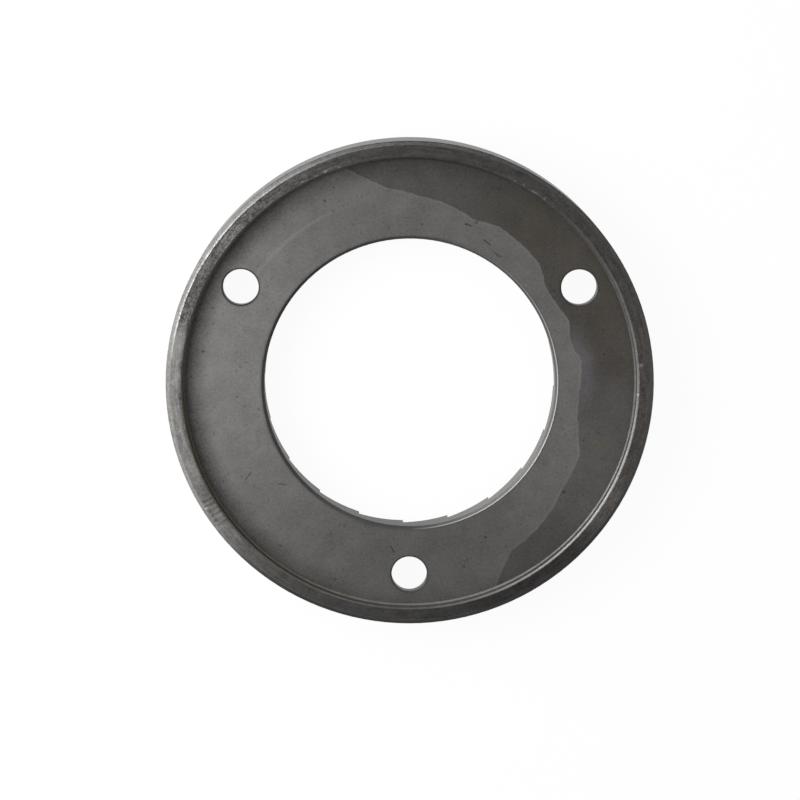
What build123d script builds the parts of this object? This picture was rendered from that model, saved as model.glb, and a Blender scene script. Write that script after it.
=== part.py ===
from build123d import *
import math
import os

# A flat ring burr of a coffee grinder, lying on its teeth with its mounting face up.
# The axis of the ring is Z. The ground lands of the teeth lie in the plane z = 0.

# The turned ring
outer_diameter = 98.0
thickness = 11.8
bore_diameter = 58.6
back_edge_chamfer = 0.8
bore_edge_chamfer = 0.6

# The register turned into the back, which locates the ring on its carrier
recess_diameter = 91.2
recess_depth = 2.7
recess_lip_chamfer = 0.3
recess_foot_chamfer = 0.35

# Three countersunk screw holes
hole_circle_diameter = 78.3
hole_diameter = 7.2
hole_count = 3
first_hole_angle = 30.0
hole_edge_chamfer = 0.2
screw_head_diameter = 12.0
screw_head_depth = 4.4

# The fine teeth in the outer band, which set the grind
fine_band_width = 4.0
fine_tooth_count = 80
fine_lean = 13.0
fine_inner_depth = 1.6
fine_outer_depth = 0.25
fine_land = 0.15
fine_run_in = 1.2

# The long breaker ribs, which sweep from the bore to the fine band
rib_count = 20
rib_lean = 50.0
rib_inner_depth = 4.8
rib_outer_depth = 1.4
rib_land = 0.4
rib_relief = 2.6
rib_start_angle = -2.0
rib_section_count = 5

# How far a cutter runs past the edge that it crosses
overshoot = 1.5

outer_radius = outer_diameter / 2
bore_radius = bore_diameter / 2
recess_radius = recess_diameter / 2
band_inner_radius = outer_radius - fine_band_width
fine_inner_radius = band_inner_radius - fine_run_in
recess_floor = thickness - recess_depth


def polar(radius, angle, height=0.0):
    """A point given by its radius, its angle in degrees and its height."""
    turn = math.radians(angle)
    return Vector(radius * math.cos(turn), radius * math.sin(turn), height)


def ring_blank():
    """The ring before its teeth are milled, as one turned section."""
    outline = Polyline(
        (recess_radius, recess_floor + recess_foot_chamfer),
        (recess_radius, thickness - recess_lip_chamfer),
        (recess_radius + recess_lip_chamfer, thickness),
        (outer_radius - back_edge_chamfer, thickness),
        (outer_radius, thickness - back_edge_chamfer),
        (outer_radius, 0),
        (fine_inner_radius, 0),
        (bore_radius, rib_relief),
        (bore_radius, recess_floor - bore_edge_chamfer),
        (bore_radius + bore_edge_chamfer, recess_floor),
        (recess_radius - recess_foot_chamfer, recess_floor),
        close=True,
    )
    return revolve(Plane.XZ * make_face(outline), Axis.Z)


def sweep_angle(radius, lean):
    """How far a tooth that leans by a fixed angle has turned back from the bore to a radius."""
    return -math.degrees(math.tan(math.radians(lean)) * math.log(radius / bore_radius))


def rib_crest_height(radius):
    """The ribs' crests rise away from the plane of the fine teeth towards the bore."""
    share = (fine_inner_radius - radius) / (fine_inner_radius - bore_radius)
    return rib_relief * max(0, share)


def rib_foot_height(radius):
    """The gullets between the ribs grow deeper towards the bore."""
    share = (radius - bore_radius) / (band_inner_radius - bore_radius)
    return rib_inner_depth + share * (rib_outer_depth - rib_inner_depth)


def rib_gullet_section(radius):
    """The gullet between two ribs, cut square across the ring at one radius.

    The steep flank of the rib stands at the foot, and the floor rises from there to the
    crest of the next rib.
    """
    foot_angle = rib_start_angle + sweep_angle(radius, rib_lean)
    crest_angle = foot_angle + 360 / rib_count - math.degrees(rib_land / radius)
    foot = polar(radius, foot_angle, rib_foot_height(radius))
    crest = polar(radius, crest_angle, rib_crest_height(radius))
    below_crest = polar(radius, crest_angle, -overshoot)
    below_foot = polar(radius, foot_angle, -overshoot)
    return make_face(Polyline(foot, crest, below_crest, below_foot, close=True))


def rib_gullets():
    """The wide gullets between the breaker ribs, from the bore to the fine band.

    Each is cut in short straight stretches from one section to the next.
    """
    start_radius = bore_radius - overshoot
    step = (band_inner_radius - start_radius) / (rib_section_count - 1)
    radii = [start_radius + index * step for index in range(rib_section_count)]
    first = loft([rib_gullet_section(radius) for radius in radii], ruled=True)
    pitch = 360 / rib_count
    return [Rot(0, 0, index * pitch) * first for index in range(rib_count)]


def fine_point(radius, start_angle, height=0.0):
    """A point on a fine tooth's flank that starts at an angle and leans back with the radius."""
    return polar(radius, start_angle + sweep_angle(radius, fine_lean), height)


def fine_gullet_floor(start_angle, crest_angle):
    """The sloping floor of a fine gullet, deepest at its inner end beside the steep flank."""
    inner_foot = fine_point(fine_inner_radius, start_angle, fine_inner_depth)
    outer_foot = fine_point(outer_radius, start_angle, fine_outer_depth)
    crest = fine_point(fine_inner_radius, crest_angle)
    normal = (outer_foot - inner_foot).cross(crest - inner_foot)
    return Plane(origin=inner_foot, z_dir=normal)


def fine_gullets():
    """The narrow gullets of the fine band, shallow at the rim and open to the ribs inside."""
    pitch = 360 / fine_tooth_count
    rib_end_angle = rib_start_angle + sweep_angle(band_inner_radius, rib_lean)
    start_angle = rib_end_angle - sweep_angle(band_inner_radius, fine_lean)
    crest_angle = start_angle + pitch - math.degrees(fine_land / fine_inner_radius)
    plan = Polyline(
        fine_point(fine_inner_radius, start_angle),
        fine_point(outer_radius + overshoot, start_angle),
        fine_point(outer_radius + overshoot, crest_angle),
        fine_point(fine_inner_radius, crest_angle),
        close=True,
    )
    block = extrude(make_face(plan), amount=2 * fine_inner_depth, both=True)
    floor = fine_gullet_floor(start_angle, crest_angle)
    first = split(block, bisect_by=floor, keep=Keep.BOTTOM)
    return [Rot(0, 0, index * pitch) * first for index in range(fine_tooth_count)]


def screw_hole():
    """One screw hole, with a pocket that sinks the head below the floors of the gullets.

    The edge at the back is broken by a small chamfer.
    """
    hole_radius = hole_diameter / 2
    head_radius = screw_head_diameter / 2
    seat_depth = screw_head_depth + head_radius - hole_radius
    outline = Polyline(
        (0, -overshoot),
        (head_radius, -overshoot),
        (head_radius, screw_head_depth),
        (hole_radius, seat_depth),
        (hole_radius, recess_floor - hole_edge_chamfer),
        (hole_radius + hole_edge_chamfer + overshoot, recess_floor + overshoot),
        (0, recess_floor + overshoot),
        close=True,
    )
    return revolve(Plane.XZ * make_face(outline), Axis.Z)


def screw_holes():
    """The holes on their circle."""
    step = 360 / hole_count
    radius = hole_circle_diameter / 2
    angles = [first_hole_angle + index * step for index in range(hole_count)]
    return [Pos(polar(radius, angle)) * screw_hole() for angle in angles]


def burr():
    """The finished ring, milled and drilled from its blank."""
    ring = ring_blank()
    ring = ring - rib_gullets()
    ring = ring - fine_gullets()
    ring = ring - screw_holes()
    return ring.solid()


os.makedirs("parts", exist_ok=True)
export_step(burr(), "parts/burr.step")
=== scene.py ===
import math

import bmesh
import bpy
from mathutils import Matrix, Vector


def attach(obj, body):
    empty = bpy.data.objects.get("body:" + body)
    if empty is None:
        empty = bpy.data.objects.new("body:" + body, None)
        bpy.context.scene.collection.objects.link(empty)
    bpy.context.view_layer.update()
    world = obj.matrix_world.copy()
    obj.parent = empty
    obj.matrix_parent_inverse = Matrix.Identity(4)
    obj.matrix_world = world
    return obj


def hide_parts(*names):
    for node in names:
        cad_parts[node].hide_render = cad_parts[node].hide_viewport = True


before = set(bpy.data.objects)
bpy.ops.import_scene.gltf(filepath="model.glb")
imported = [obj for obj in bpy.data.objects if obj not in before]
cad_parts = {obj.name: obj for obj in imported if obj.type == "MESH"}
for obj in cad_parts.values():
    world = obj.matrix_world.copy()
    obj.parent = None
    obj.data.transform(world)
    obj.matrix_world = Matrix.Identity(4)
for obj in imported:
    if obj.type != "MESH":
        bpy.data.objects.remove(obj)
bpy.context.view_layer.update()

# The burr's blank.
# The real one is a flat ring of tool steel, turned on a lathe: a rim, a shallow recess
# that seats on the carrier, a bore, and small chamfers on the edges of the back.
MM = 0.001
outer_radius = 49.0
rim_outer_radius = 48.2
rim_inner_radius = 45.9
recess_radius = 45.6
back_height = 11.8
recess_floor_height = 9.1
ladder_start_angle = 208.5
ladder_pitch = 1.35
lowest_cut_height = recess_floor_height - 4.5
sharp_edge_angle = 24

burr_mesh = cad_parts["burr"].data.copy()
burr_mesh.name = "burr_ring"
burr_mesh.attributes.remove(burr_mesh.attributes["custom_normal"])
burr = bpy.data.objects.new("burr_ring", burr_mesh)
bpy.context.scene.collection.objects.link(burr)

form = bmesh.new()
form.from_mesh(burr_mesh)
bmesh.ops.remove_doubles(form, verts=form.verts, dist=0.002 * MM)


def cut_across_rim(angle, spread):
    """Give the rim a line of points at an angle in degrees, so that a nick can be pressed there."""
    turn = math.radians(angle)
    outward = Vector((math.cos(turn), math.sin(turn), 0))
    sideways = Vector((-math.sin(turn), math.cos(turn), 0))
    faces = []
    for face in form.faces:
        centre = face.calc_center_median()
        near = centre.dot(outward) > 0 and abs(centre.dot(sideways)) < spread * MM
        if near and min(v.co.z for v in face.verts) > lowest_cut_height * MM:
            if max(math.hypot(v.co.x, v.co.y) for v in face.verts) > (recess_radius + 0.2) * MM:
                faces.append(face)
    edges = {edge for face in faces for edge in face.edges}
    verts = {vert for face in faces for vert in face.verts}
    bmesh.ops.bisect_plane(
        form, geom=[*verts, *edges, *faces], dist=1e-7, plane_co=(0, 0, 0), plane_no=sideways
    )


def press_nick(angle, radius, height, width, depth):
    """Press a small dent into an edge of the rim: width along the edge and depth in mm."""
    half_turn = math.degrees(width / 2 / radius)
    for offset in (-half_turn, 0, half_turn):
        cut_across_rim(angle + offset, spread=6)
    turn = math.radians(angle)
    spot = Vector((radius * math.cos(turn), radius * math.sin(turn), height)) * MM
    for vert in form.verts:
        if (vert.co - spot).length < 0.12 * MM:
            inward = Vector((-vert.co.x, -vert.co.y, 0)).normalized()
            side = inward if radius > rim_inner_radius else -inward
            vert.co += (side * 0.7 + Vector((0, 0, -0.7))) * depth * MM


for step in range(7):
    turn = ladder_start_angle + step * ladder_pitch
    press_nick(turn, rim_outer_radius, back_height, 0.55, 0.08 + 0.03 * (step % 3))
press_nick(163.0, rim_outer_radius, back_height, 1.1, 0.28)
press_nick(148.0, rim_outer_radius, back_height, 0.8, 0.2)
press_nick(171.5, outer_radius, back_height - 0.8, 0.9, 0.22)
press_nick(-2.0, rim_inner_radius, back_height, 0.7, 0.2)
press_nick(12.0, rim_inner_radius, back_height, 0.6, 0.18)
press_nick(-24.0, rim_inner_radius, back_height, 0.7, 0.2)

form.to_mesh(burr_mesh)
form.free()
burr_mesh.shade_smooth()
burr_mesh.set_sharp_from_angle(angle=math.radians(sharp_edge_angle))
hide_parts("burr")
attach(burr, "root")

# The steel's finish.
# The back was ground and turned, then oiled and handled: it is dull grey with cloudy tones,
# small pits, short scratches and a dark stain. Each face also carries painted light and shade
# round the ring, lighter on the side toward the light, and painted highlights along its edges.


def add(tree, kind, inputs=None, **settings):
    """Place a shader node, set it up and join it."""
    node = tree.nodes.new("ShaderNode" + kind)
    for name, value in settings.items():
        setattr(node, name, value)
    for name, value in (inputs or {}).items():
        if isinstance(value, bpy.types.NodeSocket):
            tree.links.new(value, node.inputs[name])
        else:
            node.inputs[name].default_value = value
    return node


def calc(tree, operation, first, second=0.0, third=0.0, clamp=False):
    """One sum on values that change over the surface."""
    inputs = {0: first, 1: second, 2: third}
    return add(tree, "Math", inputs, operation=operation, use_clamp=clamp).outputs[0]


def away_from(tree, value, middle):
    """How far a value lies from a middle."""
    return calc(tree, "ABSOLUTE", calc(tree, "SUBTRACT", value, middle))


def swing(tree, value, strength):
    """A value around 0.5 turned into a swing around 0."""
    return calc(tree, "MULTIPLY", calc(tree, "SUBTRACT", value, 0.5), strength)


def fade(tree, value, start, end, low=0.0, high=1.0):
    """A soft step between two values."""
    inputs = {"Value": value, "From Min": start, "From Max": end, "To Min": low, "To Max": high}
    node = add(tree, "MapRange", inputs, interpolation_type="SMOOTHSTEP")
    return node.outputs["Result"]


def blend_colors(tree, share, first, second, mode="MIX"):
    """Two colours mixed by a mask."""
    node = add(tree, "Mix", {"Factor": share}, data_type="RGBA", blend_type=mode)
    for name, value in (("A", first), ("B", second)):
        socket = next(s for s in node.inputs if s.name == name and s.type == "RGBA")
        if isinstance(value, bpy.types.NodeSocket):
            tree.links.new(value, socket)
        else:
            socket.default_value = (*value, 1)
    return next(s for s in node.outputs if s.type == "RGBA")


def start_group(name, inputs, outputs):
    """A named effect: its tree, its input sockets and its output node."""
    tree = bpy.data.node_groups.new(name, "ShaderNodeTree")
    for title, value in inputs.items():
        socket = tree.interface.new_socket(title, in_out="INPUT", socket_type="NodeSocketFloat")
        socket.default_value = value
    for title in outputs:
        tree.interface.new_socket(title, in_out="OUTPUT", socket_type="NodeSocketFloat")
    entry = tree.nodes.new("NodeGroupInput").outputs
    leave = tree.nodes.new("NodeGroupOutput").inputs
    return tree, entry, leave


def place_millimetres(tree):
    """The place on the burr in millimetres, in the part's own frame."""
    place = add(tree, "TexCoord").outputs["Object"]
    node = add(tree, "VectorMath", {0: place}, operation="SCALE")
    node.inputs["Scale"].default_value = 1 / MM
    return node.outputs[0]


def make_ring_place():
    """Where a point lies on the ring: its radius and height in mm and its angle in degrees."""
    tree, _, leave = start_group("ring place", {}, ["Radius", "Angle", "Height"])
    split = add(tree, "SeparateXYZ", {0: place_millimetres(tree)}).outputs
    square = calc(tree, "ADD", calc(tree, "MULTIPLY", split[0], split[0]),
                  calc(tree, "MULTIPLY", split[1], split[1]))
    tree.links.new(calc(tree, "SQRT", square), leave["Radius"])
    angle = calc(tree, "MULTIPLY", calc(tree, "ARCTAN2", split[1], split[0]), math.degrees(1))
    tree.links.new(angle, leave["Angle"])
    tree.links.new(split[2], leave["Height"])
    return tree


def make_cloudy_tone():
    """Soft clouds and fine grain in the steel's tone, around 1."""
    inputs = {"Cloud size": 8.0, "Cloud strength": 0.1, "Grain size": 0.35, "Grain strength": 0.06}
    tree, entry, leave = start_group("cloudy tone", inputs, ["Tone", "Height"])
    place = place_millimetres(tree)
    cloud_scale = calc(tree, "DIVIDE", 1.0, entry["Cloud size"])
    grain_scale = calc(tree, "DIVIDE", 1.0, entry["Grain size"])
    cloud = add(tree, "TexNoise", {"Vector": place, "Scale": cloud_scale, "Detail": 5.0,
                                   "Roughness": 0.6}).outputs["Fac"]
    grain = add(tree, "TexNoise", {"Vector": place, "Scale": grain_scale, "Detail": 2.0,
                                   "Roughness": 0.7}).outputs["Fac"]
    cloud = swing(tree, cloud, entry["Cloud strength"])
    grain_tone = swing(tree, grain, entry["Grain strength"])
    tone = calc(tree, "MULTIPLY", calc(tree, "ADD", cloud, grain_tone), 2.0)
    tree.links.new(calc(tree, "ADD", tone, 1.0), leave["Tone"])
    tree.links.new(grain, leave["Height"])
    return tree


def make_pits():
    """Small dark pits scattered over the surface, each in its own cell."""
    inputs = {"Spacing": 3.0, "Size": 0.25, "Share": 0.3}
    tree, entry, leave = start_group("pits", inputs, ["Mask"])
    scale = calc(tree, "DIVIDE", 1.0, entry["Spacing"])
    place = place_millimetres(tree)
    wobble = add(tree, "TexNoise", {"Vector": place, "Scale": 2.6, "Detail": 2.0}).outputs["Color"]
    wobble = add(tree, "VectorMath", {0: wobble, 1: (0.5, 0.5, 0.5)},
                 operation="SUBTRACT").outputs[0]
    place = add(tree, "VectorMath", {0: place, 1: wobble}, operation="ADD").outputs[0]
    cells = add(tree, "TexVoronoi", {"Vector": place, "Scale": scale})
    random = add(tree, "SeparateColor", {0: cells.outputs["Color"]}).outputs
    reach = calc(tree, "DIVIDE", entry["Size"], entry["Spacing"])
    reach = calc(tree, "MULTIPLY", reach, calc(tree, "ADD", random[1], 0.4))
    inner = calc(tree, "MULTIPLY", reach, 0.4)
    near = add(tree, "MapRange", {"Value": cells.outputs["Distance"], "From Min": inner,
                                  "From Max": reach, "To Min": 1.0, "To Max": 0.0})
    chosen = calc(tree, "LESS_THAN", random[0], entry["Share"])
    tree.links.new(calc(tree, "MULTIPLY", near.outputs["Result"], chosen), leave["Mask"])
    return tree


def make_scuffs():
    """Short fine scratches in one direction, broken up at random."""
    inputs = {"Direction": 0.0, "Width": 0.15, "Length": 4.0, "Share": 0.3}
    tree, entry, leave = start_group("scuffs", inputs, ["Mask"])
    turn = calc(tree, "MULTIPLY", entry["Direction"], math.radians(1))
    turned = add(tree, "VectorRotate", {"Vector": place_millimetres(tree), "Angle": turn},
                 rotation_type="Z_AXIS").outputs[0]
    split = add(tree, "SeparateXYZ", {0: turned}).outputs
    stretched = add(tree, "CombineXYZ", {
        0: calc(tree, "DIVIDE", split[0], entry["Length"]),
        1: calc(tree, "DIVIDE", split[1], entry["Width"]),
        2: calc(tree, "DIVIDE", split[2], entry["Width"]),
    }).outputs[0]
    streak = add(tree, "TexNoise", {"Vector": stretched, "Scale": 1.0,
                                    "Detail": 1.0}).outputs["Fac"]
    edge = calc(tree, "SUBTRACT", 0.78, calc(tree, "MULTIPLY", entry["Share"], 0.3))
    over = calc(tree, "SUBTRACT", streak, edge)
    tree.links.new(calc(tree, "MULTIPLY", over, 14.0, clamp=True), leave["Mask"])
    return tree


def make_single_scratch():
    """One scratch, by its middle in mm, its direction in degrees, its length and its width."""
    inputs = {"Middle X": 0.0, "Middle Y": 0.0, "Direction": 0.0, "Length": 2.0, "Width": 0.2}
    tree, entry, leave = start_group("single scratch", inputs, ["Mask"])
    split = add(tree, "SeparateXYZ", {0: place_millimetres(tree)}).outputs
    x = calc(tree, "SUBTRACT", split[0], entry["Middle X"])
    y = calc(tree, "SUBTRACT", split[1], entry["Middle Y"])
    turn = calc(tree, "MULTIPLY", entry["Direction"], math.radians(1))
    cosine = calc(tree, "COSINE", turn)
    sine = calc(tree, "SINE", turn)
    along = calc(tree, "ADD", calc(tree, "MULTIPLY", x, cosine), calc(tree, "MULTIPLY", y, sine))
    aside = calc(tree, "SUBTRACT", calc(tree, "MULTIPLY", y, cosine),
                 calc(tree, "MULTIPLY", x, sine))
    along = calc(tree, "DIVIDE", calc(tree, "ABSOLUTE", along), entry["Length"])
    aside = calc(tree, "DIVIDE", calc(tree, "ABSOLUTE", aside), entry["Width"])
    reach = calc(tree, "SUBTRACT", 0.5, calc(tree, "MAXIMUM", along, aside))
    tree.links.new(calc(tree, "MULTIPLY", reach, 5.0, clamp=True), leave["Mask"])
    return tree


def make_turned_lines():
    """The fine rings that a lathe tool leaves, as a value around 0.5, broken up along the ring."""
    tree, entry, leave = start_group("turned lines", {"Pitch": 0.3, "Length": 40.0}, ["Value"])
    split = add(tree, "SeparateXYZ", {0: place_millimetres(tree)}).outputs
    square = calc(tree, "ADD", calc(tree, "MULTIPLY", split[0], split[0]),
                  calc(tree, "MULTIPLY", split[1], split[1]))
    radius = calc(tree, "SQRT", square)
    turns = calc(tree, "DIVIDE", outer_radius, calc(tree, "MULTIPLY", radius, entry["Length"]))
    across = calc(tree, "DIVIDE", calc(tree, "ADD", radius, split[2]), entry["Pitch"])
    line = add(tree, "CombineXYZ", {
        0: calc(tree, "MULTIPLY", split[0], turns),
        1: calc(tree, "MULTIPLY", split[1], turns),
        2: across,
    }).outputs[0]
    rings = add(tree, "TexNoise", {"Vector": line, "Scale": 1.0, "Detail": 2.0}).outputs["Fac"]
    tree.links.new(rings, leave["Value"])
    return tree


ring_place = make_ring_place()
cloudy_tone = make_cloudy_tone()
pits = make_pits()
scuffs = make_scuffs()
single_scratch = make_single_scratch()
turned_lines = make_turned_lines()


def use(tree, group, **inputs):
    """Place a named effect in a material with its own values."""
    node = tree.nodes.new("ShaderNodeGroup")
    node.node_tree = group
    for name, value in inputs.items():
        socket = next(s for s in node.inputs if s.name.lower() == name.replace("_", " "))
        socket.default_value = value
    return node.outputs


def start_steel(name, roughness):
    """A steel material and its surface."""
    material = bpy.data.materials.new(name)
    material.use_nodes = True
    tree = material.node_tree
    tree.nodes.clear()
    surface = add(tree, "BsdfPrincipled", {"Roughness": roughness, "Metallic": 0.8})
    output = tree.nodes.new("ShaderNodeOutputMaterial")
    tree.links.new(surface.outputs[0], output.inputs["Surface"])
    return material, tree, surface


def bumped(tree, surface, height, strength, distance):
    """Let a height change the surface's shading; the distance is in mm."""
    node = add(tree, "Bump", {"Height": height, "Strength": strength, "Distance": distance * MM})
    tree.links.new(node.outputs[0], surface.inputs["Normal"])


def tinted(tree, color, tone):
    """A colour made lighter or darker by a tone around 1."""
    return blend_colors(tree, 1.0, color, gray(tree, tone), "MULTIPLY")


def gray(tree, value):
    """A grey colour from a value."""
    return add(tree, "CombineColor", {0: value, 1: value, 2: value}).outputs[0]


# The recess floor.
# It is ground flat and dull. A dark oil stain covers one side, from a ragged edge out to
# the recess wall, and a faint ring shows where another part has rubbed. Its clean part is
# painted lighter towards the light, and a painted shadow of the rim lies along the recess wall.
floor_color = (0.163, 0.1585, 0.153)
stain_color = (0.070, 0.067, 0.065)
stain_brown = (0.066, 0.060, 0.052)
bloom_color = (0.092, 0.087, 0.093)
soot_color = (0.058, 0.050, 0.044)
crumb_color = (0.034, 0.022, 0.018)
bore_edge_radius = 29.9
hole_circle_radius = 39.15
hole_radius = 3.6
rubbed_ring_radius = 37.9
rubbed_ring_angle = 130.0
brown_angle = 34.0
bloom_angle = 6.0
soot_x, soot_y = 40.6, 4.2
stain_low_radius = 32.0
stain_high_radius = 46.0
stain_edge = [
    (107.5, 45.9), (103, 42.9), (100, 41.2), (97, 39.9), (88, 38.1), (76, 36.7), (69, 35.5),
    (61, 36.4), (52, 36.0), (43, 35.5), (36, 33.5), (29, 33.6), (22, 34.4), (16, 33.5), (12, 33.8),
    (8, 34.9),
    (-5, 34.2), (-11, 34.5), (-17, 35.7), (-23, 37.4), (-35, 37.8), (-41, 38.7), (-50, 39.6),
    (-59, 40.1), (-62.5, 42.0), (-65.5, 44.0), (-67.5, 45.9),
]
stain_start_angle = stain_edge[0][0]
stain_end_angle = stain_edge[-1][0]


def full_turn(tree, angle):
    """An angle as a share of a full turn, from 0 at +X round to 1."""
    return calc(tree, "DIVIDE", calc(tree, "WRAP", angle, 360.0, 0.0), 360.0)


def tone_round_ring(tree, angle, tones, high=0.5):
    """A tone that changes round the ring, from pairs of an angle and a tone."""
    points = [(turn / 360, tone) for turn, tone in tones]
    return follow_curve(tree, full_turn(tree, angle), points, 0.0, high)


def follow_curve(tree, value, points, low, high):
    """A value that follows a line through points, each a share from 0 to 1 and a value.

    The values lie between the two limits.
    """
    node = add(tree, "FloatCurve", {"Value": value})
    curve = node.mapping.curves[0]
    for index, (x, y) in enumerate(points):
        share = (y - low) / (high - low)
        if index < 2:
            curve.points[index].location = (x, share)
        else:
            curve.points.new(x, share)
    for point in curve.points:
        point.handle_type = "VECTOR"
    node.mapping.update()
    return calc(tree, "ADD", calc(tree, "MULTIPLY", node.outputs[0], high - low), low)


recess_floor, tree, surface = start_steel("recess floor steel", 0.5)
place = use(tree, ring_place)
cloud = use(tree, cloudy_tone, cloud_size=5.0, cloud_strength=0.29,
            grain_size=0.45, grain_strength=0.34)
stain_span = stain_start_angle - stain_end_angle
share = calc(tree, "DIVIDE", calc(tree, "SUBTRACT", stain_start_angle, place["Angle"]), stain_span)
inside_span = calc(tree, "MULTIPLY", calc(tree, "GREATER_THAN", share, 0.0),
                   calc(tree, "LESS_THAN", share, 1.0))
edge_points = [((stain_start_angle - angle) / stain_span, radius) for angle, radius in stain_edge]
edge_radius = follow_curve(tree, share, edge_points, stain_low_radius, stain_high_radius)
ragged = add(tree, "TexNoise", {"Vector": place_millimetres(tree), "Scale": 0.7, "Detail": 4.0,
                                "Roughness": 0.6}).outputs["Fac"]
ragged = swing(tree, ragged, 0.7)
past_edge = calc(tree, "SUBTRACT", calc(tree, "ADD", place["Radius"], ragged), edge_radius)
stain = calc(tree, "MULTIPLY", fade(tree, past_edge, -0.12, 0.12), inside_span)
brown = add(tree, "TexNoise", {"Vector": place_millimetres(tree), "Scale": 0.1, "Detail": 3.0})
towards_brown = fade(tree, away_from(tree, place["Angle"], brown_angle), 18.0, 38.0, 0.25, 0.0)
brown = fade(tree, calc(tree, "ADD", brown.outputs["Fac"], towards_brown), 0.45, 0.75)
stain_tone = blend_colors(tree, brown, stain_color, stain_brown)
# Painted light: the clean floor is lighter towards the light and darker away from it.
clean_floor_painted_light = tone_round_ring(tree, place["Angle"], (
    (0, 0.88), (40, 0.74), (90, 0.66), (120, 0.72), (150, 0.86), (180, 0.95), (195, 0.90),
    (210, 0.82), (240, 0.66), (255, 0.60), (285, 0.59), (300, 0.64), (330, 0.78), (360, 0.88),
), 2.0)
stain_shade = tone_round_ring(tree, place["Angle"], (
    (0, 1.08), (8, 1.12), (22, 0.94), (40, 1.02), (52, 0.88), (75, 0.95), (107, 1.0), (312, 1.0),
    (326, 1.36), (345, 1.33), (360, 1.08),
), 2.0)
bloom = calc(tree, "MULTIPLY", fade(tree, past_edge, 0.4, 4.0, 1.0, 0.0),
             fade(tree, away_from(tree, place["Angle"], bloom_angle), 7.0, 17.0, 1.0, 0.0))
stain_tone = blend_colors(tree, bloom, stain_tone, bloom_color)
split = add(tree, "SeparateXYZ", {0: place_millimetres(tree)}).outputs
soot = add(tree, "CombineXYZ", {0: calc(tree, "SUBTRACT", split[0], soot_x),
                                1: calc(tree, "SUBTRACT", split[1], soot_y)}).outputs[0]
soot = add(tree, "VectorMath", {0: soot}, operation="LENGTH").outputs["Value"]
soot = fade(tree, calc(tree, "ADD", soot, calc(tree, "MULTIPLY", ragged, 5.0)), 1.5, 4.5, 1.0, 0.0)
crumb = use(tree, pits, spacing=0.9, size=0.36, share=0.5)["Mask"]
stain_tone = blend_colors(tree, calc(tree, "MULTIPLY", soot, 0.6), stain_tone, soot_color)
stain_tone = blend_colors(tree, calc(tree, "MULTIPLY", soot, crumb), stain_tone, crumb_color)
color = blend_colors(tree, stain, tinted(tree, floor_color, clean_floor_painted_light),
                     tinted(tree, stain_tone, stain_shade))
tide = fade(tree, away_from(tree, past_edge, -0.25), 0.0, 0.3, 0.10, 0.0)
tide = calc(tree, "MULTIPLY", tide, inside_span)
ring = fade(tree, away_from(tree, place["Radius"], rubbed_ring_radius), 0.1, 0.6, 0.17, 0.0)
ring_span = fade(tree, away_from(tree, place["Angle"], rubbed_ring_angle), 8.0, 24.0, 1.0, 0.0)
ring = calc(tree, "MULTIPLY", ring, ring_span)
pit = use(tree, pits, spacing=2.2, size=0.32, share=0.24)["Mask"]
speck = use(tree, pits, spacing=0.9, size=0.25, share=0.36)["Mask"]
light_speck = use(tree, pits, spacing=1.7, size=0.27, share=0.30)["Mask"]
scuff = use(tree, scuffs, direction=35.0, width=0.22, length=3.5, share=0.15)["Mask"]
dark = calc(tree, "ADD", calc(tree, "MULTIPLY", pit, 0.50), calc(tree, "MULTIPLY", speck, 0.27))
dark = calc(tree, "SUBTRACT", dark, calc(tree, "MULTIPLY", light_speck, 0.14))
dark = calc(tree, "ADD", dark, calc(tree, "MULTIPLY", scuff, 0.08))
scratches = None
for x, y, direction, length in (
    (-32.6, -18.9, 53.0, 2.4), (-25.7, -20.6, -8.0, 2.0), (15.4, 28.6, -40.0, 2.2),
    (17.5, 26.1, -35.0, 2.0), (11.7, 32.1, -25.0, 1.6), (-3.4, -34.0, -60.0, 2.0),
):
    scratch = use(tree, single_scratch, middle_x=x, middle_y=y, direction=direction,
                  length=length, width=0.32)["Mask"]
    scratches = scratch if scratches is None else calc(tree, "MAXIMUM", scratches, scratch)
dark = calc(tree, "ADD", dark, calc(tree, "MULTIPLY", scratches, 0.52))
# Painted shadow of the rim on the floor, along the recess wall on the side of the light.
corner = tone_round_ring(tree, place["Angle"], (
    (0, 0.0), (50, 0.0), (80, 0.28), (95, 0.29), (105, 0.37), (120, 0.46), (135, 0.57),
    (195, 0.58), (210, 0.48), (225, 0.46), (240, 0.24), (262, 0.08), (285, 0.08), (310, 0.0),
    (360, 0.0),
), 1.0)
corner = calc(tree, "MULTIPLY", corner, fade(tree, place["Radius"], 40.2, 44.6))
hole_turn = calc(tree, "SUBTRACT", calc(tree, "WRAP", place["Angle"], 90.0, -30.0), 30.0)
hole_turn = calc(tree, "MULTIPLY", hole_turn, math.radians(1))
hole_x = calc(tree, "MULTIPLY", place["Radius"], calc(tree, "COSINE", hole_turn))
hole_x = calc(tree, "SUBTRACT", hole_x, hole_circle_radius)
hole_y = calc(tree, "MULTIPLY", place["Radius"], calc(tree, "SINE", hole_turn))
hole_distance = add(tree, "CombineXYZ", {0: hole_x, 1: hole_y}).outputs[0]
hole_distance = add(tree, "VectorMath", {0: hole_distance}, operation="LENGTH").outputs["Value"]
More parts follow.
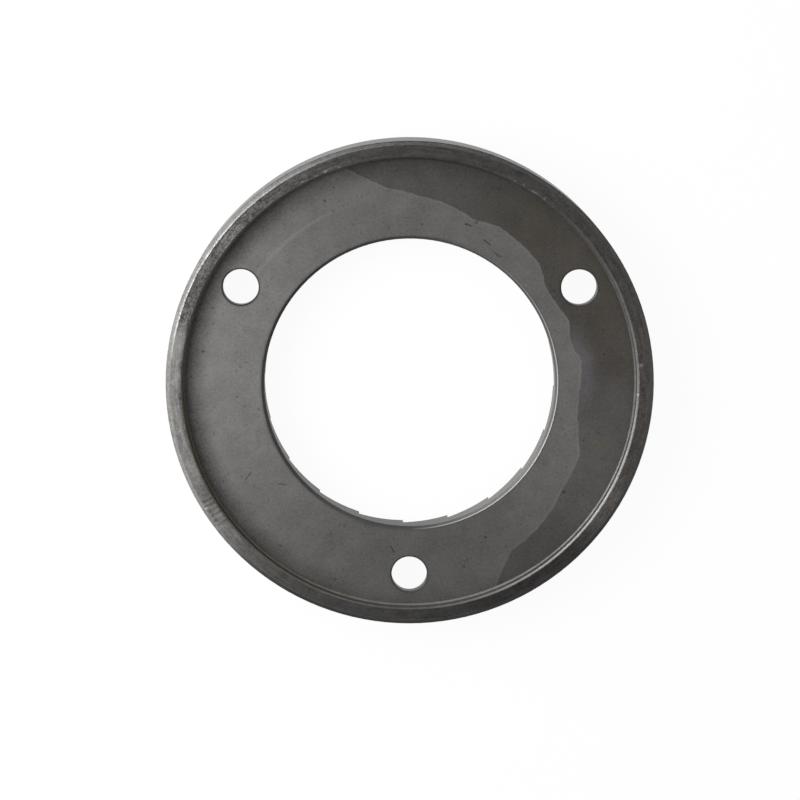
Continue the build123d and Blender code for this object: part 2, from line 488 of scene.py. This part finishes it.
# Painted shade in a thin ring round each screw hole, where its small edge break would be.
hole_edge_shade = fade(tree, hole_distance, hole_radius + 0.2, hole_radius + 0.6, 0.30, 0.0)
bore_shade = tone_round_ring(tree, place["Angle"], (
    (0, 0.22), (60, 0.12), (90, 0.14), (150, 0.26), (200, 0.34), (235, 0.18), (300, 0.16),
    (360, 0.22),
), 1.0)
bore_ring = fade(tree, place["Radius"], bore_edge_radius, bore_edge_radius + 0.55, 1.0, 0.0)
bore_ring = calc(tree, "MULTIPLY", bore_shade, bore_ring)
corner = calc(tree, "ADD", corner, calc(tree, "ADD", hole_edge_shade, bore_ring))
tone = calc(tree, "SUBTRACT", calc(tree, "ADD", cloud["Tone"], calc(tree, "ADD", tide, ring)), dark)
tone = calc(tree, "SUBTRACT", tone, corner)
tree.links.new(tinted(tree, color, tone), surface.inputs["Base Color"])
rough = calc(tree, "ADD", calc(tree, "MULTIPLY", stain, -0.05),
             calc(tree, "MULTIPLY", cloud["Tone"], 0.16))
rough = calc(tree, "ADD", rough, 0.36)
tree.links.new(rough, surface.inputs["Roughness"])
lines = use(tree, turned_lines, pitch=0.25)["Value"]
height = calc(tree, "ADD", calc(tree, "MULTIPLY", lines, 0.5), cloud["Height"])
height = calc(tree, "SUBTRACT", height, calc(tree, "ADD", pit, scratches))
bumped(tree, surface, height, 0.35, 0.03)

# The rim.
# It is the highest face of the back, so it is rubbed and dark with handling, and its edges
# are broken by small chamfers. Its tone round the ring is partly painted sheen, lighter on the
# side toward the light, and partly real patches of darker and lighter steel.
rim, tree, surface = start_steel("rim steel", 0.45)
place = use(tree, ring_place)
cloud = use(tree, cloudy_tone, cloud_size=2.4, cloud_strength=0.50,
            grain_size=0.5, grain_strength=0.36)
# Painted sheen and real patches: lighter on the side toward the light, with the steel's own darker
# and lighter patches.
shade = tone_round_ring(tree, place["Angle"], (
    (0, 0.070), (30, 0.053), (60, 0.046), (90, 0.044), (105, 0.052), (120, 0.064), (140, 0.100),
    (156, 0.076), (165.6, 0.110), (166.6, 0.188), (203, 0.186), (209, 0.107),
    (216, 0.160), (228, 0.085), (240, 0.058), (294, 0.029), (315, 0.034), (330, 0.100),
    (340, 0.060), (360, 0.070),
))
ruddy = fade(tree, calc(tree, "ABSOLUTE", place["Angle"]), 35.0, 80.0, 1.0, 0.0)
plain_tint = (1.0, 0.965, 0.935)
ruddy_tint = (1.0, 0.91, 0.85)
shade = tinted(tree, blend_colors(tree, ruddy, plain_tint, ruddy_tint), shade)
rub_and_highlight = tone_round_ring(tree, place["Angle"], (
    (0, 0.60), (60, 0.40), (100, 0.45), (118, 0.95), (140, 1.4), (164, 1.4), (167, 0.42),
    (225, 0.40), (250, 0.34), (330, 0.55), (360, 0.60),
), 2.0)
grit = use(tree, cloudy_tone, cloud_size=0.55, cloud_strength=1.0,
           grain_size=0.28, grain_strength=0.9)
grit = calc(tree, "MULTIPLY", calc(tree, "SUBTRACT", grit["Tone"], 1.0), rub_and_highlight)
streak = use(tree, turned_lines, pitch=0.35, length=5.0)["Value"]
streak = swing(tree, streak, calc(tree, "ADD", rub_and_highlight, 0.5))
pit = use(tree, pits, spacing=1.6, size=0.3, share=0.3)["Mask"]
bright = use(tree, pits, spacing=2.3, size=0.26, share=0.16)["Mask"]
tone = calc(tree, "ADD", cloud["Tone"], calc(tree, "ADD", grit, streak))
tone = calc(tree, "SUBTRACT", calc(tree, "ADD", tone, calc(tree, "MULTIPLY", bright, 0.6)),
            calc(tree, "MULTIPLY", pit, 0.35))
ladder = calc(tree, "SINE", calc(tree, "MULTIPLY", place["Angle"], math.tau / ladder_pitch))
ladder_middle_angle = -147.4
ladder_span = away_from(tree, place["Angle"], ladder_middle_angle)
ladder_span = fade(tree, ladder_span, 3.4, 4.6, 0.22, 0.0)
tone = calc(tree, "ADD", tone, calc(tree, "MULTIPLY", ladder, ladder_span))
edge_line_radius = 47.82
edge_line = away_from(tree, place["Radius"], edge_line_radius)
edge_line = fade(tree, edge_line, 0.04, 0.16, 0.5, 0.0)
edge_line = calc(tree, "MULTIPLY", edge_line, calc(tree, "SUBTRACT", rub_and_highlight, 0.5, clamp=True))
tone = calc(tree, "MAXIMUM", calc(tree, "SUBTRACT", tone, edge_line), 0.2)
inner_shade = tone_round_ring(tree, place["Angle"], (
    (0, 0.0), (140, 0.0), (165, 0.32), (180, 0.62), (194, 0.45), (200, 0.28), (216, 0.22),
    (230, 0.0), (280, 0.0), (297, 0.34), (312, 0.30), (324, 0.0), (360, 0.0),
), 1.0)
inner_shade_end = 46.75
inner_band = fade(tree, place["Radius"], rim_inner_radius, inner_shade_end, 1.0, 0.0)
inner_shade = calc(tree, "MULTIPLY", inner_shade, inner_band)
tone = calc(tree, "SUBTRACT", tone, inner_shade)
# Painted highlight on the rim's outer edge, on the side toward the light.
rim_edge_highlight = tone_round_ring(tree, place["Angle"], (
    (0, 0.0), (105, 0.0), (118, 0.16), (135, 0.34), (150, 0.40), (166, 0.44), (174, 0.03),
    (360, 0.0),
), 1.0)
rim_edge_highlight = calc(tree, "MULTIPLY", rim_edge_highlight, fade(tree, place["Radius"], 47.93, 48.05))
# Painted highlight on the rim's inner edge, where the lip faces the light.
lip_highlight = tone_round_ring(tree, place["Angle"], (
    (0, 0.13), (20, 0.10), (40, 0.05), (60, 0.02), (80, 0.0), (275, 0.0), (300, 0.12), (345, 0.24),
    (360, 0.13),
), 1.0)
lip_highlight = calc(tree, "MULTIPLY", lip_highlight, fade(tree, place["Radius"], 45.98, 46.12, 1.0, 0.0))
fleck = use(tree, turned_lines, pitch=0.5, length=1.1)["Value"]
fleck_span = tone_round_ring(tree, place["Angle"], (
    (0, 0.0), (45, 0.0), (52, 0.07), (62, 0.07), (70, 0.0), (104, 0.0), (110, 0.10), (118, 0.10),
    (124, 0.0), (360, 0.0),
), 1.0)
fleck = calc(tree, "MULTIPLY", fade(tree, fleck, 0.56, 0.64), fleck_span)
fleck = calc(tree, "MULTIPLY", fleck, fade(tree, place["Radius"], 46.1, 46.5, 1.0, 0.0))
# Painted highlights on the rim's edges together with the real wear flecks; a rubbed spot is added
# below.
highlights_and_wear = calc(tree, "ADD", calc(tree, "ADD", rim_edge_highlight, lip_highlight), fleck)
spot = use(tree, single_scratch, middle_x=46.35, middle_y=4.2, direction=20.0,
           length=0.9, width=0.7)["Mask"]
highlights_and_wear = calc(tree, "ADD", highlights_and_wear, calc(tree, "MULTIPLY", spot, 0.10))
shade = blend_colors(tree, 1.0, shade, gray(tree, highlights_and_wear), "ADD")
tree.links.new(tinted(tree, shade, tone), surface.inputs["Base Color"])
height = calc(tree, "ADD", cloud["Height"], calc(tree, "ADD", grit, streak))
bumped(tree, surface, height, 0.4, 0.04)

# The outer wall and its chamfer.
# The wall is ground round and scratched. Its tone round the ring is painted light, lighter on
# the side toward the light and darker on the other. The chamfer carries a painted highlight
# along its edge with the rim on the side toward the light.
wall, tree, surface = start_steel("outer wall steel", 0.42)
place = use(tree, ring_place)
cloud = use(tree, cloudy_tone, cloud_size=5.0, cloud_strength=0.24,
            grain_size=0.35, grain_strength=0.2)
# Painted light: the wall is lighter where it faces the light and darker on the far side.
shade = tone_round_ring(tree, place["Angle"], (
    (0, 0.26), (30, 0.21), (45, 0.11), (60, 0.085), (90, 0.12), (120, 0.17), (135, 0.20),
    (165, 0.29), (215, 0.26), (240, 0.27), (360, 0.26),
))
lines = use(tree, turned_lines, pitch=0.16, length=30.0)["Value"]
streak = use(tree, turned_lines, pitch=0.9, length=6.0)["Value"]
scuff = fade(tree, use(tree, turned_lines, pitch=0.22, length=2.5)["Value"], 0.60, 0.68)
pit = use(tree, pits, spacing=2.6, size=0.3, share=0.22)["Mask"]
tone = calc(tree, "ADD", cloud["Tone"], swing(tree, lines, 0.28))
tone = calc(tree, "ADD", tone, swing(tree, streak, 0.5))
tone = calc(tree, "ADD", tone, calc(tree, "MULTIPLY", scuff, 0.14))
tone = calc(tree, "SUBTRACT", tone, calc(tree, "MULTIPLY", pit, 0.35))
tone = calc(tree, "ADD", tone, fade(tree, place["Height"], 0.15, 0.6, 0.5, 0.0))
tone = calc(tree, "SUBTRACT", tone, fade(tree, place["Height"], 10.2, 10.95, 0.0, 0.35))
tree.links.new(tinted(tree, gray(tree, shade), tone), surface.inputs["Base Color"])
rough = calc(tree, "ADD", calc(tree, "MULTIPLY", streak, 0.16), 0.34)
tree.links.new(rough, surface.inputs["Roughness"])
bumped(tree, surface, calc(tree, "SUBTRACT", calc(tree, "ADD", lines, scuff), pit), 0.35, 0.02)

chamfer, tree, surface = start_steel("outer chamfer steel", 0.4)
place = use(tree, ring_place)
cloud = use(tree, cloudy_tone, cloud_size=1.2, cloud_strength=0.5,
            grain_size=0.3, grain_strength=0.7)
lines = use(tree, turned_lines, pitch=0.12, length=12.0)["Value"]
# Painted light: the chamfer is bright where it faces the light and nearly black on the far side.
shade = tone_round_ring(tree, place["Angle"], (
    (0, 0.065), (60, 0.070), (90, 0.100), (105, 0.155), (120, 0.220), (135, 0.275), (165, 0.285),
    (180, 0.270), (205, 0.270), (216, 0.220), (228, 0.055), (240, 0.015),
    (300, 0.005), (318, 0.005), (332, 0.035), (360, 0.065),
))
# Painted highlight along the chamfer's edge with the rim, on the side toward the light.
rub_and_highlight = fade(tree, place["Radius"], 48.25, 48.45, 0.55, 0.0)
highlight_side = tone_round_ring(tree, place["Angle"], (
    (0, 0.0), (100, 0.0), (118, 1.0), (164, 1.0), (174, 0.15), (360, 0.0),
), 1.0)
corner_line = tone_round_ring(tree, place["Angle"], (
    (0, 0.1), (60, 0.5), (100, 0.6), (125, 0.4), (140, 0.1), (360, 0.1),
), 1.0)
corner_line = calc(tree, "MULTIPLY", corner_line, fade(tree, place["Radius"], 48.75, 48.95))
tone = calc(tree, "ADD", cloud["Tone"], swing(tree, lines, 0.3))
tone = calc(tree, "ADD", tone, calc(tree, "MULTIPLY", rub_and_highlight, highlight_side))
tone = calc(tree, "SUBTRACT", tone, corner_line)
shade = blend_colors(tree, 1.0, gray(tree, shade), (1.0, 0.965, 0.93), "MULTIPLY")
tree.links.new(tinted(tree, shade, tone), surface.inputs["Base Color"])
bumped(tree, surface, calc(tree, "ADD", lines, cloud["Height"]), 0.3, 0.02)

# The recess wall, with the small chamfers at its lip and foot.
# Old oil and coffee have gathered in the corner and dried olive brown, except on one side that
# is wiped clean. Its brightness round the ring is painted light: the turned steel is painted
# bright where it faces the light and darker in painted shade elsewhere.
corner, tree, surface = start_steel("recess corner steel", 0.42)
place = use(tree, ring_place)
cloud = use(tree, cloudy_tone, cloud_size=1.5, cloud_strength=0.4,
            grain_size=0.3, grain_strength=0.4)
lines = use(tree, turned_lines, pitch=0.14, length=12.0)["Value"]
# Painted light: the corner's brightness round the ring, lighter where it faces the light.
shade = tone_round_ring(tree, place["Angle"], (
    (0, 0.20), (15, 0.17), (30, 0.13), (45, 0.095), (60, 0.078), (75, 0.065), (90, 0.065),
    (105, 0.10), (120, 0.125), (160, 0.13), (195, 0.14), (225, 0.14), (255, 0.12), (270, 0.10),
    (285, 0.15), (300, 0.24), (315, 0.30), (330, 0.30), (345, 0.27), (360, 0.20),
))
# Painted light on the wall and the foot chamfer, each with its own tone round the ring.
wall_tone = tone_round_ring(tree, place["Angle"], (
    (0, 0.62), (25, 0.55), (60, 0.60), (90, 0.90), (225, 0.95), (255, 1.45), (270, 1.75),
    (285, 1.30), (300, 0.62), (315, 0.42), (335, 0.36), (350, 0.55), (360, 0.62),
), 2.0)
foot_tone = tone_round_ring(tree, place["Angle"], (
    (0, 0.75), (15, 0.70), (30, 0.90), (60, 1.0), (225, 1.0), (240, 1.15), (255, 1.5), (270, 1.7),
    (285, 1.3), (300, 0.80), (315, 0.66), (330, 0.70), (345, 0.60), (360, 0.75),
), 2.0)
wall_middle_height = 10.48
on_wall = away_from(tree, place["Height"], wall_middle_height)
on_wall = fade(tree, on_wall, 0.98, 1.05, 1.0, 0.0)
at_foot = fade(tree, place["Height"], 9.43, 9.5, 1.0, 0.0)
# Painted shade on the inner part of the foot chamfer.
foot_start = tone_round_ring(tree, place["Angle"], (
    (0, 0.1), (15, 0.0), (285, 0.2), (300, 0.45), (315, 0.70), (345, 0.55), (360, 0.1),
), 1.0)
foot_start = calc(tree, "MULTIPLY", foot_start, fade(tree, place["Height"], 9.18, 9.26, 1.0, 0.0))
wall_change = calc(tree, "MULTIPLY", on_wall, calc(tree, "SUBTRACT", wall_tone, 1.0))
foot_change = calc(tree, "MULTIPLY", at_foot, calc(tree, "SUBTRACT", foot_tone, 1.0))
part_tone = calc(tree, "ADD", calc(tree, "ADD", wall_change, 1.0), foot_change)
dirt = tone_round_ring(tree, place["Angle"], (
    (0, 0.0), (45, 0.3), (80, 1.0), (250, 1.0), (275, 0.2), (300, 0.0), (360, 0.0),
), 1.0)
rust_angle = -165.0
rust_tint = (1.0, 0.88, 0.70)
olive_tint = (1.0, 0.955, 0.82)
clean_tint = (1.0, 0.98, 0.95)
past_rust = fade(tree, away_from(tree, place["Angle"], rust_angle), 10.0, 35.0)
grime = blend_colors(tree, past_rust, rust_tint, olive_tint)
tint = blend_colors(tree, dirt, clean_tint, grime)
tone = calc(tree, "ADD", cloud["Tone"], swing(tree, lines, 0.5))
part_tone = calc(tree, "MULTIPLY", part_tone, calc(tree, "SUBTRACT", 1.0, foot_start))
tone = calc(tree, "MULTIPLY", calc(tree, "MULTIPLY", tone, shade), part_tone)
tree.links.new(tinted(tree, tint, tone), surface.inputs["Base Color"])
bumped(tree, surface, calc(tree, "ADD", lines, cloud["Height"]), 0.3, 0.02)

# The bore and the screw holes.
# They were bored through and not ground, so tool rings and pits show. Their tone round the
# ring is painted light, lighter where the wall faces the light, and the bore's chamfered edge
# carries a painted highlight on that side.
bore, tree, surface = start_steel("bored steel", 0.42)
place = use(tree, ring_place)
cloud = use(tree, cloudy_tone, cloud_size=3.0, cloud_strength=0.18,
            grain_size=0.25, grain_strength=0.14)
lines = use(tree, turned_lines, pitch=0.2)["Value"]
pit = use(tree, pits, spacing=1.5, size=0.32, share=0.3)["Mask"]
tone = calc(tree, "ADD", cloud["Tone"], swing(tree, lines, 0.5))
tone = calc(tree, "SUBTRACT", tone, calc(tree, "MULTIPLY", pit, 0.35))
# Painted light: the bore is lighter where its wall faces the light.
shade = tone_round_ring(tree, place["Angle"], (
    (0, 0.14), (40, 0.10), (70, 0.08), (100, 0.05), (190, 0.03), (210, 0.035), (225, 0.04),
    (240, 0.06), (270, 0.07), (300, 0.17), (330, 0.165), (345, 0.13), (360, 0.14),
))
# Painted highlight along the bore's chamfered edge, only where the painted light is bright.
bore_highlight_height = 9.08
bore_edge_highlight = away_from(tree, place["Height"], bore_highlight_height)
bore_edge_highlight = fade(tree, bore_edge_highlight, 0.06, 0.2, 1.0, 0.0)
bore_edge_highlight = calc(tree, "MULTIPLY", bore_edge_highlight, fade(tree, shade, 0.06, 0.13))
# Painted light on the bore chamfer, lighter between about 150° and 265°.
chamfer_painted_light = tone_round_ring(tree, place["Angle"], (
    (0, 0.0), (150, 0.0), (180, 0.045), (225, 0.038), (250, 0.02), (265, 0.0), (360, 0.0),
))
below_bore_chamfer = 8.4
near_chamfer = fade(tree, place["Height"], below_bore_chamfer, below_bore_chamfer + 0.2)
chamfer_painted_light = calc(tree, "MULTIPLY", chamfer_painted_light, near_chamfer)
shade = calc(tree, "ADD", shade, chamfer_painted_light)
bore_edge_band = fade(tree, place["Radius"], bore_edge_radius, bore_edge_radius + 0.5, 1.0, 0.0)
bore_edge_highlight = calc(tree, "MULTIPLY", bore_edge_highlight, bore_edge_band)
shade = calc(tree, "ADD", shade, calc(tree, "MULTIPLY", bore_edge_highlight, 0.35))
shade = blend_colors(tree, 1.0, gray(tree, shade), (1.0, 0.98, 0.95), "MULTIPLY")
tree.links.new(tinted(tree, shade, tone), surface.inputs["Base Color"])
bumped(tree, surface, calc(tree, "ADD", lines, calc(tree, "MULTIPLY", pit, -1.0)), 0.4, 0.03)

# The teeth.
# They were milled and then ground on their tips. Coffee oil has stained the gullets brown,
# and the lands and cutting edges are rubbed clean.
teeth, tree, surface = start_steel("milled tooth steel", 0.42)
place = use(tree, ring_place)
cloud = use(tree, cloudy_tone, cloud_size=4.0, cloud_strength=0.18,
            grain_size=0.3, grain_strength=0.1)
scuff = use(tree, scuffs, direction=20.0, width=0.25, length=5.0, share=0.5)["Mask"]
bore_radius = 29.3
fine_band_inner_radius = 43.8
crest_rise = 2.6
crest_slope = crest_rise / (fine_band_inner_radius - bore_radius)
clean_steel = (0.34, 0.33, 0.315)
dull_steel = (0.19, 0.175, 0.155)
oily_brown = (0.105, 0.088, 0.068)
blot_brown = (0.10, 0.075, 0.050)
crest = calc(tree, "SUBTRACT", fine_band_inner_radius, place["Radius"])
crest = calc(tree, "MULTIPLY", crest, crest_slope)
depth = calc(tree, "SUBTRACT", place["Height"], calc(tree, "MAXIMUM", crest, 0.0))
clean = calc(tree, "ADD", depth, calc(tree, "MULTIPLY", cloud["Height"], 0.4))
clean = fade(tree, clean, 0.15, 0.8, 1.0, 0.0)
oily = fade(tree, depth, 0.4, 1.8)
color = blend_colors(tree, clean, dull_steel, clean_steel)
color = blend_colors(tree, calc(tree, "MULTIPLY", oily, 0.6), color, oily_brown)
blot = fade(tree, use(tree, cloudy_tone, cloud_size=3.5, cloud_strength=1.0)["Tone"], 1.0, 1.25)
color = blend_colors(tree, calc(tree, "MULTIPLY", blot, 0.35), color, blot_brown)
lines = use(tree, turned_lines, pitch=0.18, length=9.0)["Value"]
tone = calc(tree, "ADD", cloud["Tone"], calc(tree, "MULTIPLY", scuff, -0.12))
tone = calc(tree, "ADD", tone, swing(tree, lines, 0.3))
tree.links.new(tinted(tree, color, tone), surface.inputs["Base Color"])
height = calc(tree, "ADD", cloud["Height"], calc(tree, "ADD", scuff, lines))
bumped(tree, surface, height, 0.3, 0.03)

burr_mesh.materials.clear()
finishes = [recess_floor, rim, wall, chamfer, corner, bore, teeth]
for finish in finishes:
    burr_mesh.materials.append(finish)
head_radius = 6.0
hole_turns = [math.radians(angle) for angle in (30, 150, 270)]
hole_middles = [Vector((math.cos(turn), math.sin(turn))) * hole_circle_radius for turn in hole_turns]
for face in burr_mesh.polygons:
    middle = face.center / MM
    radius = math.hypot(middle.x, middle.y)
    level = abs(face.normal.z) > 0.98
    in_hole = any((middle.xy - centre).length < head_radius + 0.02 for centre in hole_middles)
    above_floor = middle.z > recess_floor_height + 0.05
    upright = abs(face.normal.z) <= 0.3
    if above_floor and rim_inner_radius - 0.05 < radius < rim_outer_radius + 0.05:
        finish = rim
    elif level and abs(middle.z - recess_floor_height) < 0.1:
        finish = recess_floor
    elif above_floor and radius > rim_outer_radius and not upright:
        finish = chamfer
    elif radius > outer_radius - 0.15 and upright:
        finish = wall
    elif middle.z > recess_floor_height and radius > recess_radius - 1:
        finish = corner
    elif in_hole or radius < bore_radius + 0.01 or middle.z > below_bore_chamfer:
        finish = bore
    else:
        finish = teeth
    face.material_index = finishes.index(finish)

# The stage.
# A plain white floor, soft studio light from the upper left and a camera above the burr.
floor_reach = 3
floor_mesh = bpy.data.meshes.new("floor")
corners = [(x * floor_reach, y * floor_reach, 0) for x, y in ((-1, -1), (1, -1), (1, 1), (-1, 1))]
floor_mesh.from_pydata(corners, [], [(0, 1, 2, 3)])
floor = bpy.data.objects.new("floor", floor_mesh)
bpy.context.scene.collection.objects.link(floor)
floor_finish = bpy.data.materials.new("white floor")
floor_finish.use_nodes = True
tree = floor_finish.node_tree
tree.nodes.clear()
matt = add(tree, "BsdfDiffuse", {"Color": (0.85, 0.85, 0.85, 1)})
white = add(tree, "Emission", {"Color": (1, 1, 1, 1), "Strength": 1.0})
rays = add(tree, "LightPath").outputs
seen = calc(tree, "ADD", calc(tree, "ADD", rays["Is Camera Ray"], rays["Is Glossy Ray"]),
            rays["Is Transmission Ray"])
white_share = 0.94
seen = calc(tree, "MULTIPLY", seen, white_share)
top = add(tree, "MixShader", {0: seen, 1: matt.outputs[0], 2: white.outputs[0]})
clear = add(tree, "BsdfTransparent")
face_side = add(tree, "NewGeometry").outputs["Backfacing"]
both = add(tree, "MixShader", {0: face_side, 1: top.outputs[0], 2: clear.outputs[0]})
output = tree.nodes.new("ShaderNodeOutputMaterial")
tree.links.new(both.outputs[0], output.inputs["Surface"])
floor_mesh.materials.append(floor_finish)

world = bpy.data.worlds.new("studio")
bpy.context.scene.world = world
world.use_nodes = True
tree = world.node_tree
tree.nodes.clear()
way = add(tree, "TexCoord").outputs["Generated"]
bright_side = (-0.70, 0.50, 0.51)
towards = add(tree, "VectorMath", {0: way, 1: bright_side}, operation="DOT_PRODUCT")
level = fade(tree, towards.outputs["Value"], -0.5, 0.85, 0.16, 1.0)
horizon = fade(tree, add(tree, "SeparateXYZ", {0: way}).outputs[2], 0.08, 0.2, 1.0, 0.0)
strength = calc(tree, "MAXIMUM", level, horizon)
soft = add(tree, "Background", {"Color": (1, 1, 1, 1), "Strength": strength})
output = tree.nodes.new("ShaderNodeOutputWorld")
tree.links.new(soft.outputs[0], output.inputs["Surface"])


def hang_light(name, azimuth, elevation, distance, size, power):
    """A soft square light that points at the burr."""
    light = bpy.data.lights.new(name, "AREA")
    light.size = size
    light.energy = power
    lamp = bpy.data.objects.new(name, light)
    bpy.context.scene.collection.objects.link(lamp)
    turn, rise = math.radians(azimuth), math.radians(elevation)
    way = Vector((math.cos(turn) * math.cos(rise), math.sin(turn) * math.cos(rise), math.sin(rise)))
    lamp.location = way * distance
    lamp.rotation_euler = way.to_track_quat("Z", "Y").to_euler()


hang_light("key light", azimuth=163, elevation=45, distance=0.30, size=0.2, power=0.82)

camera_data = bpy.data.cameras.new("camera")
camera_data.sensor_width = 36
camera_data.lens = 129.774
camera = bpy.data.objects.new("camera", camera_data)
bpy.context.scene.collection.objects.link(camera)
camera.location = (-0.008814, 0.088442, 0.582914)
camera.rotation_euler = [math.radians(angle) for angle in (-9.08326, -0.66227, 0.13432)]
bpy.context.scene.camera = camera
bpy.context.scene.view_settings.view_transform = "Standard"
